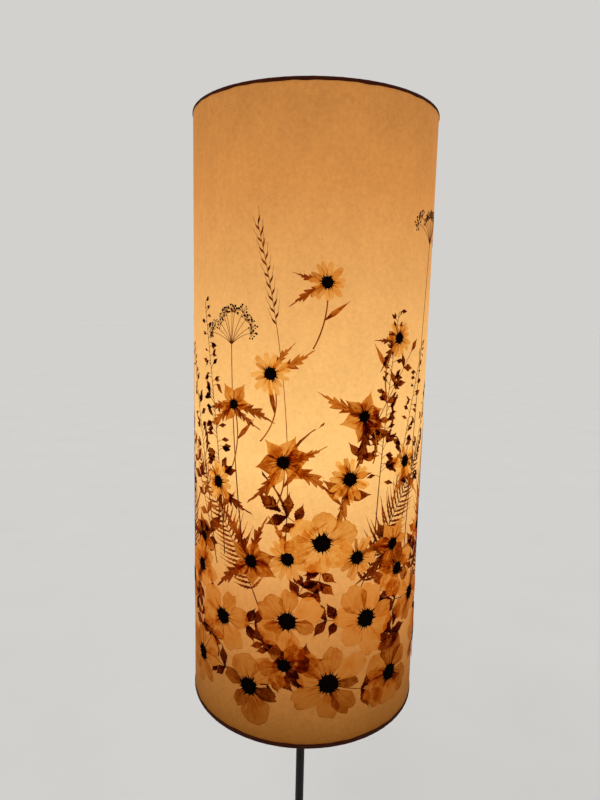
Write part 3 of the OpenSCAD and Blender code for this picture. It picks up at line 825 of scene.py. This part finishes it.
# Rose leaf: place and length of each pair, length of tip leaflet and rib, breadth of a leaflet
LEAFLET_PAIRS = ((0.62, 0.30), (0.84, 0.32))
TIP_LEAFLET = 0.40
RIB_SHARE = 0.72
LEAFLET_WIDTH = 0.56


def rose_leaf(at, degrees, length):
    """Toothed leaflets in two pairs and one at the tip of their rib."""
    tone = rng.uniform(0.2, 1.0)
    rib = Shoot(at, length * RIB_SHARE, degrees, rng.uniform(-25, 25))
    rib.draw(1.1, 0.6, tone, LEAF_LIFT)
    for share, size in LEAFLET_PAIRS:
        for side in (-1, 1):
            reach = length * size * rng.uniform(0.9, 1.1)
            turn = rib.way(share) + side * rng.uniform(48, 66)
            own = tone + rng.normal(0, 0.06)
            leaf(TOOTHED, rib.at(share), turn, reach, reach * LEAFLET_WIDTH, own, bend=0.10 * side)
    reach = length * TIP_LEAFLET
    leaf(TOOTHED, rib.at(1.0), rib.way(1.0), reach, reach * LEAFLET_WIDTH, tone)


def lobed_leaf(at, degrees, length):
    """A deeply cut leaf with a bent tip, sometimes with a smaller one beside it."""
    tone = rng.uniform(0.0, 1.0)
    bend = rng.choice((-1, 1)) * rng.uniform(0.08, 0.30)
    leaf(LOBED, at, degrees, length, length * rng.uniform(0.27, 0.37), tone, bend=bend)
    if rng.random() < 0.5:
        leaf(LOBED, at, degrees + rng.choice((-38, 38)), length * 0.8, length * 0.22, tone, bend=-bend)


# Millimetres of stalk to each pair of leaves, and to each bud
FERN_STEP = 7.0
SPRIG_STEP = 26.0
BUD_STEP = 7.0


def fern(root, length, lean, curve):
    """A frond with toothed leaflets in pairs."""
    rib = Shoot(root, length, lean, curve)
    tone = rng.uniform(0.2, 0.75)
    rib.draw(1.3, 0.4, tone, LEAF_LIFT + RIB_STEP)
    pairs = int(length / FERN_STEP)
    for k in range(pairs):
        v = 0.10 + 0.89 * k / pairs
        reach = length * 0.20 * math.sin(math.pi * (0.1 + 0.9 * v)) ** 0.7 * (1.05 - 0.35 * v)
        for side in (-1, 1):
            long = max(reach, 3.0) * rng.uniform(0.85, 1.1)
            x, y = blade(PINNA, long, 5.6 - 2.2 * v, toothed_rows(PINNA), columns=3, bend=-0.14 * side)
            degrees = rib.way(v) + side * (70 - 24 * v) + rng.normal(0, 4)
            own = np.clip(tone + rng.normal(0, 0.08), 0, 1)
            beds["fronds"].lay(*turned(x, y, degrees, rib.at(v)), LEAF_LIFT, BLADE_T, own)


def sprig(root, length, lean, curve):
    """A leafy shoot with oval leaves in pairs and one at its tip."""
    stem = Shoot(root, length, lean, curve)
    tone = rng.uniform(0.0, 0.6)
    stem.draw(1.4, 0.6, tone)
    pairs = int(length / SPRIG_STEP)
    for k in range(pairs + 1):
        v = 0.2 + 0.8 * k / pairs
        reach = 30 * (1.1 - 0.5 * v) * rng.uniform(0.8, 1.15)
        for side in (-1, 1) if k < pairs else (0,):
            degrees = stem.way(v) + side * (56 - 14 * v) + rng.normal(0, 8)
            own = tone + rng.normal(0, 0.12)
            wide = reach * rng.uniform(0.38, 0.50)
            leaf(OVAL, stem.at(v), degrees, reach, wide, own, columns=9, bend=0.14 * side)


def fan(reach, count, stray):
    """Turns in degrees, spread evenly to both sides, each a little off its place."""
    return np.linspace(-reach, reach, count) + rng.normal(0, stray, count)


def umbel(root, length, lean, head):
    """A tall stalk with a fan of rays, each with a small cluster of florets."""
    stem = Shoot(root, length, lean, rng.uniform(-10, 10))
    stem.draw(1.6, 1.0, tone=0.6)
    for spread in fan(reach=78, count=11, stray=5):
        way = stem.way(1.0) + spread * 0.66
        ray = Shoot(stem.at(1.0), head * rng.uniform(0.34, 0.54), way, spread * 0.4)
        ray.draw(0.7, 0.45, tone=0.7)
        for turn in fan(reach=95, count=9, stray=8):
            twig = Shoot(ray.at(1.0), head * rng.uniform(0.05, 0.11), ray.way(1.0) + turn, 0)
            twig.draw(0.45, 0.35, tone=0.8)
            beds["seed_heads"].lay(*disc(twig.at(1.0), rng.uniform(0.8, 1.5), count=3), LEAF_LIFT, SEED_T)


# Grains in an ear of grass, where on the stalk it starts, and places and turns of the leaves
EAR_GRAINS = 18
EAR_START = 0.70
GRASS_LEAVES = ((0.10, -13), (0.28, 15))


def grass(root, length, lean, curve):
    """An arching stalk of grass with an ear of bearded grains and two narrow leaves."""
    stem = Shoot(root, length, lean, curve)
    stem.draw(1.1, 0.5, tone=0.3)
    for k in range(EAR_GRAINS):
        v = EAR_START + (1 - EAR_START) * k / (EAR_GRAINS - 1)
        side = 1 if k % 2 else -1
        degrees = stem.way(v) + side * rng.uniform(16, 30)
        long, tone = rng.uniform(8, 11), rng.uniform(0.5, 1.0)
        leaf(LANCE, stem.at(v), degrees, long, width=2.8, tone=tone, columns=3, bend=0.1 * side)
        tip = turned(0.0, 8.0, degrees, stem.at(v))
        awn = Shoot(tip, rng.uniform(9, 13), degrees - side * 6, -side * 8)
        awn.draw(0.35, 0.2, tone=0.7)
    for share, turn in GRASS_LEAVES:
        long, tone = length * 0.15, rng.uniform(0.2, 0.6)
        leaf(LANCE, stem.at(share), lean + turn, long, width=3.6, tone=tone, columns=5, bend=0.03 * turn)


def spike(root, length, lean, curve):
    """A stalk with dark drooping buds on short stalks along its upper part, smaller to the tip."""
    stem = Shoot(root, length, lean, curve)
    stem.draw(1.4, 0.5, tone=0.55)
    buds = int(length / BUD_STEP)
    for k in range(buds):
        v = 0.30 + 0.70 * k / (buds - 1)
        side = rng.choice((-1, 1))
        size = (1.15 - 0.75 * v) * rng.uniform(0.75, 1.25)
        way = stem.way(v) + side * rng.uniform(25, 75)
        twig = Shoot(stem.at(v), 11 * size, way, side * rng.uniform(0, 50))
        twig.draw(0.6, 0.45, tone=0.7)
        tone = rng.uniform(0.7, 1.0)
        for turn in (0, rng.uniform(-60, 60)) if rng.random() < 0.5 else (0,):
            reach = 17 * size * rng.uniform(0.75, 1.1)
            degrees = twig.way(1.0) + turn + rng.normal(0, 16)
            wide = reach * rng.uniform(0.42, 0.65)
            leaf(BUD, twig.at(1.0), degrees, reach, wide, tone, bend=rng.normal(0, 0.25))


def stalk(head):
    """A short bowed stalk under a flower head."""
    bow = rng.choice((-1, 1)) * rng.uniform(35, 75)
    stem = Shoot(head, rng.uniform(50, 84), 180 - bow / 2 + rng.uniform(-12, 12), bow)
    stem.draw(1.3, 1.7, rng.uniform(0.1, 0.6))
    turn = rng.choice((-1, 1)) * rng.uniform(24, 46)
    long, tone = rng.uniform(26, 40), rng.uniform(0.0, 0.6)
    fork = 0.55
    leaf(LANCE, stem.at(fork), stem.way(fork) + 180 + turn, long, width=6.0, tone=tone)


# The meadow on one half of the shade, in millimetres from its middle line and its lower rim
FERNS = (
    ((-52, 176), 216, -22, -26), ((62, 186), 226, 24, 22), ((-196, 120), 230, 6, -16),
    ((204, 128), 240, -8, 18),
)
SPRIGS = (((30, 262), 230, 14, 26), ((-116, 210), 210, -16, -24), ((150, 190), 190, 18, 22))
UMBELS = (((-78, 240), 290, -8, 78), ((142, 230), 350, 4, 84))
GRASSES = (((-164, 160), 380, -3, -16), ((-22, 250), 400, 3, -18), ((186, 170), 330, 3, 16))
SPIKES = (
    ((84, 250), 300, 2, 6), ((104, 240), 260, 9, 12), ((122, 250), 190, 18, 10),
    ((-120, 226), 240, -10, -12), ((-106, 230), 320, -4, -8), ((-200, 190), 260, -2, -8),
    ((214, 200), 270, 2, 8),
)
ROSES = (
    ((-152, 82), 86), ((-66, 74), 96), ((30, 84), 106), ((120, 76), 92), ((200, 94), 82),
    ((-108, 148), 84), ((-18, 160), 92), ((78, 158), 96), ((158, 166), 80), ((-196, 164), 78),
    ((20, 258), 86), ((-24, 106), 70), ((-152, 196), 70), ((124, 212), 72),
)
STARS = (
    ((-64, 226), 72), ((112, 246), 74), ((-150, 238), 66), ((-24, 350), 68), ((186, 250), 62),
    ((66, 398), 62), ((-92, 410), 56),
)
DAISIES = (
    ((64, 238), 56), ((-22, 236), 52), ((-112, 312), 52), ((52, 330), 54), ((134, 340), 50),
    ((-42, 446), 48), ((112, 486), 44), ((14, 548), 44),
)


def meadow(half, middle, stray):
    """Lays half of the shade's flowers about a line round the sheet, each up to stray from its place."""
    beds.update({kind: Bed() for kind in KINDS})

    def spot(at):
        return middle + at[0] + rng.uniform(-stray, stray), at[1] + rng.uniform(-stray, stray)

    for plant, places in ((fern, FERNS), (grass, GRASSES), (spike, SPIKES), (sprig, SPRIGS)):
        for at, length, lean, curve in places:
            plant(spot(at), length * rng.uniform(0.88, 1.06), lean, curve)
    for at, length, lean, head in UMBELS:
        umbel(spot(at), length * rng.uniform(0.8, 1.05), lean, head)
    for flower, places in ((daisy, DAISIES), (star, STARS), (rose, ROSES)):
        for at, size in places:
            head = spot(at)
            if at[1] > TALL:
                stalk(head)
            flower(head, size * rng.uniform(0.95, 1.05))
    for kind, shader in KINDS.items():
        plants = beds[kind].piece(f"{half}_{kind}", shader.material)
        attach(plants, "shade")


meadow("front", middle=0.0, stray=3)
meadow("back", middle=HALF_ROUND / MM, stray=13)


# The parchment sheet, rolled, with its end glued over its start at the back
SHEET_ROWS = 41
SHEET_COLUMNS = 361

# Map that the sheet is baked on: the spans up it of the inner face, the edges and the outer face
BAKE_MAP = "OFBake"
BAKE_MARGIN = 0.004
INNER_SPAN = (BAKE_MARGIN, 0.28)
EDGE_SPAN = (0.29, 0.30)
OUTER_SPAN = (0.31, 1 - BAKE_MARGIN)


def chart_sheet(mesh, cells):
    """Gives each face of the sheet one whole chart, so that no seam of the baked map crosses it."""
    corners, edges = 4 * cells, len(mesh.polygons) - 2 * cells
    places = np.empty(2 * len(mesh.loops), dtype=np.float32)
    mesh.uv_layers[BLADE_MAP].data.foreach_get("uv", places)
    u, v = places.reshape(-1, 2).T
    u[2 * corners:] = ((np.arange(edges)[:, None] + (0, 0, 1, 1)) / edges).ravel()
    v[2 * corners:] = np.tile((1.0, 0.0, 0.0, 1.0), edges)
    low, high = np.repeat([OUTER_SPAN, INNER_SPAN, EDGE_SPAN], (corners, corners, 4 * edges), axis=0).T
    charted = np.stack([BAKE_MARGIN + (1 - 2 * BAKE_MARGIN) * u, low + (high - low) * v], -1)
    mesh.uv_layers.new(name=BAKE_MAP).data.foreach_set("uv", charted.ravel().astype(np.float32))


def rolled_sheet():
    """The sheet as one mesh, with the lamp's light painted brighter on its inner face."""
    around = np.linspace(-HALF_ROUND - LAP_W / 2, HALF_ROUND + LAP_W / 2, SHEET_COLUMNS)
    up = np.linspace(sheet_low.z, sheet_high.z, SHEET_ROWS) - SHADE_Z
    up, around = np.meshgrid(up, around, indexing="ij")
    rise = SHEET_T * smooth((around - (HALF_ROUND - LAP_W / 2 - LAP_RISE)) / LAP_RISE)
    layers = np.where(np.abs(around) > HALF_ROUND - LAP_W / 2, 2.0, 1.0)
    bed = Bed()
    outer = SHADE_R + rise
    bed.patch(wrapped(around, up, outer), wrapped(around, up, outer - SHEET_T), layers=layers)
    # Painted light: the inner face is a copy of the parchment that glows brighter with the bulb's light
    faces = parchment("parchment", lamp_glow=1.0), parchment("parchment_inside", lamp_glow=1.15)
    made = bed.piece("parchment_sheet", *(face.material for face in faces))
    cells = (SHEET_ROWS - 1) * (SHEET_COLUMNS - 1)
    inside = np.zeros(len(made.data.polygons), dtype=np.int32)
    inside[cells:2 * cells] = 1
    made.data.polygons.foreach_set("material_index", inside)
    chart_sheet(made.data, cells)
    return made


sheet = rolled_sheet()
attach(sheet, "shade")
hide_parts("shade_sheet")

# Tape folded over each rim and its ring, with wavy edges
TAPE_T = 0.6 * MM
TAPE_LAP = 12 * MM
TAPE_INSIDE = 1.4 * MM
TAPE_WAVE = 0.35 * MM
TAPE_WAVES = (5, 11, 17, 29, 43)
TAPE_PUCKER = 0.05 * MM
TAPE_PUCKERS = (37, 61, 97)

# Points round it, and across it: on its outer leg, in its fold and on its inner leg
TAPE_COLUMNS = 721
OUTER_ROWS = 4
FOLD_ROWS = 15
INNER_ROWS = 2

# Where the spider's wires pass the lower tape, which is cut away beside them
ARM_ANGLES = (90, 210, 330)
ARM_ROOM = 2.4 * MM


def waves(turn, counts):
    """Uneven wave round the lamp, from -1 to 1 or a little more."""
    return sum(np.sin(n * turn + rng.uniform(0, 2 * math.pi)) for n in counts) / math.sqrt(len(counts))


def folded_tape(name, node, ring, side):
    """Tape on the upper rim, where side is 1, or on the lower one, where the spider's wires pass it."""
    low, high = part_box(node)
    ring_low, ring_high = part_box(ring)
    level = (ring_low.z + ring_high.z) / 2
    roll = high.z - level if side > 0 else level - low.z
    outside = level - low.z if side > 0 else high.z - level
    middle = high.x - roll
    lap = TAPE_LAP / SHADE_R
    turn = np.linspace(-math.pi - lap / 2, math.pi + lap / 2, TAPE_COLUMNS)
    at_back = smooth((np.abs(turn) - math.pi + 2 * lap) / lap)
    edge = outside + TAPE_WAVE * waves(turn, TAPE_WAVES) * (1 - at_back)
    inner_edge = np.full(turn.shape, TAPE_INSIDE)
    if side < 0:
        for degrees in ARM_ANGLES:
            arm = math.radians(degrees + 90)
            off = np.abs((turn - arm + math.pi) % (2 * math.pi) - math.pi) * middle
            inner_edge = np.minimum(inner_edge, TAPE_INSIDE * smooth((off - ARM_ROOM) / ARM_ROOM))
    over = TAPE_T * smooth((turn - math.pi + 1.5 * lap) / lap)
    pucker = TAPE_PUCKER * waves(turn, TAPE_PUCKERS) + over
    rows = [(1.0, 0.0, share, 0.0) for share in np.linspace(1, 0, OUTER_ROWS, endpoint=False)]
    rows += [(math.cos(a), math.sin(a), 0.0, 0.0) for a in np.linspace(0, math.pi, FOLD_ROWS)]
    rows += [(-1.0, 0.0, 0.0, (k + 1) / INNER_ROWS) for k in range(INNER_ROWS)]
    faces = []
    for depth in (0.0, TAPE_T):
        grid = []
        for out, rise, leg, inner_leg in rows:
            thick = roll - depth + pucker
            radius = middle + out * thick
            z = level + side * (rise * thick - leg * edge - inner_leg * inner_edge)
            grid.append(np.stack([radius * np.sin(turn), -radius * np.cos(turn), z], axis=-1))
        faces.append(np.array(grid))
    bed = Bed()
    bed.patch(*(faces if side < 0 else [f[:, ::-1] for f in faces]))
    made = bed.piece(name, FINISHES["binding_tape"])
    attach(made, "shade")
    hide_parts(node)


folded_tape("lower_tape", "bottom_binding", "bottom_ring", side=-1)
folded_tape("upper_tape", "top_binding", "top_ring", side=1)

# Felt ring under the base, with a soft edge
FELT_HOLE_R = 38 * MM
FELT_ROUND = 0.5 * MM
FELT_FUZZ = 0.12 * MM
FUZZ_WAVES = (13, 31, 53, 79)
FUZZ_INSET = 1.5
FELT_COLUMNS = 240


def felt_ring():
    """The ring as four rows of points outside and four inside, joined round."""
    low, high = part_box("base_pad")
    turn = np.linspace(0, 2 * math.pi, FELT_COLUMNS, endpoint=False)
    fuzz = FELT_FUZZ * (waves(turn, FUZZ_WAVES) - FUZZ_INSET)
    edge = ((FELT_ROUND, low.z), (0, low.z + FELT_ROUND), (0, high.z - FELT_ROUND), (FELT_ROUND, high.z))
    outside = [(high.x - inset + fuzz, z) for inset, z in edge]
    inside = [(FELT_HOLE_R + inset - fuzz, z) for inset, z in edge]
    way = np.stack([np.cos(turn), np.sin(turn), np.zeros(turn.shape)], -1)
    rings = np.array([radius[:, None] * way + (0, 0, z) for radius, z in outside + inside[::-1]])
    index = np.arange(rings.shape[0] * rings.shape[1]).reshape(rings.shape[:2])
    up, on = np.roll(index, -1, 0), np.roll(index, -1, 1)
    faces = np.stack([index, on, np.roll(up, -1, 1), up], -1).reshape(-1, 4)
    mesh = bpy.data.meshes.new("felt_ring")
    mesh.from_pydata(rings.reshape(-1, 3).tolist(), [], faces.tolist())
    mesh.materials.append(FINISHES["felt"])
    made = put("felt_ring", mesh)
    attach(made, "lamp")
    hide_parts("base_pad")


felt_ring()

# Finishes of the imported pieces
for part in frame["record"]["subparts"]:
    if part["material_slot"] in FINISHES:
        slots = nodes[part["node"]].data.materials
        slots.clear()
        slots.append(FINISHES[part["material_slot"]])


# Floor, world, lights and camera
FLOOR = (0.66, 0.645, 0.62)
BACKDROP = (0.647, 0.638, 0.620)
FLOOR_HALF = 40.0
SKY = (0.95, 0.97, 1.0)


def floor():
    """A wide pale floor."""
    mesh = bpy.data.meshes.new("floor")
    corners = [(FLOOR_HALF * x, FLOOR_HALF * y, 0) for x, y in ((-1, -1), (1, -1), (1, 1), (-1, 1))]
    mesh.from_pydata(corners, [], [(0, 1, 2, 3)])
    made = Shader("floor", Roughness=1.0, Specular_IOR_Level=0.0)
    clouds = made.spread(made.noise(3), 0.985, 1.015)
    made.set("Base Color", made.scaled(FLOOR, clouds))
    mesh.materials.append(made.material)
    put("floor", mesh)


def world():
    """Even pale light, which the camera, glossy surfaces and glass see as a pale backdrop."""
    made = bpy.data.worlds.new("studio")
    bpy.context.scene.world = made
    graph = Graph(made)
    light = graph.tree.nodes["Background"]
    graph.feed(light.inputs["Color"], SKY)
    graph.feed(light.inputs["Strength"], 0.4)
    seen = graph.node("Background", BACKDROP)
    rays = graph.node("LightPath").outputs
    chosen = rays["Is Camera Ray"]
    for other in ("Is Glossy Ray", "Is Transmission Ray"):
        chosen = graph.math("MAXIMUM", chosen, rays[other])
    mix = graph.node("MixShader", chosen, light.outputs[0], seen.outputs[0])
    graph.feed(graph.tree.nodes["World Output"].inputs[0], mix.outputs[0])


def soft_light(name, azimuth, elevation, strength):
    """Broad even light from a direction: azimuth 0 is the front, and 90 the right."""
    lamp = bpy.data.lights.new(name, "SUN")
    lamp.angle = math.radians(50)
    lamp.energy = strength
    put(name, lamp).rotation_euler = (math.radians(90 - elevation), 0, math.radians(azimuth))


def camera():
    """Camera fitted to the shade's outline: its place, and how far it is turned, tilted down and rolled."""
    place = (0.0, -0.8133, 1.3724)
    turn, tilt, roll = math.radians(-0.825), math.radians(8.803), math.radians(1.262)
    aim = Euler((math.pi / 2 - tilt, 0, -turn)).to_matrix().to_4x4()
    data = bpy.data.cameras.new("camera")
    data.lens = 27.86
    data.clip_start = 0.01
    obj = put("camera", data)
    obj.matrix_world = Matrix.Translation(place) @ aim @ Matrix.Rotation(roll, 4, "Z")
    bpy.context.scene.camera = obj


floor()
world()
soft_light("key", azimuth=-38, elevation=48, strength=1.5)
soft_light("fill", azimuth=55, elevation=30, strength=0.7)
soft_light("back", azimuth=165, elevation=45, strength=0.6)
camera()
bpy.context.scene.view_settings.view_transform = "Standard"
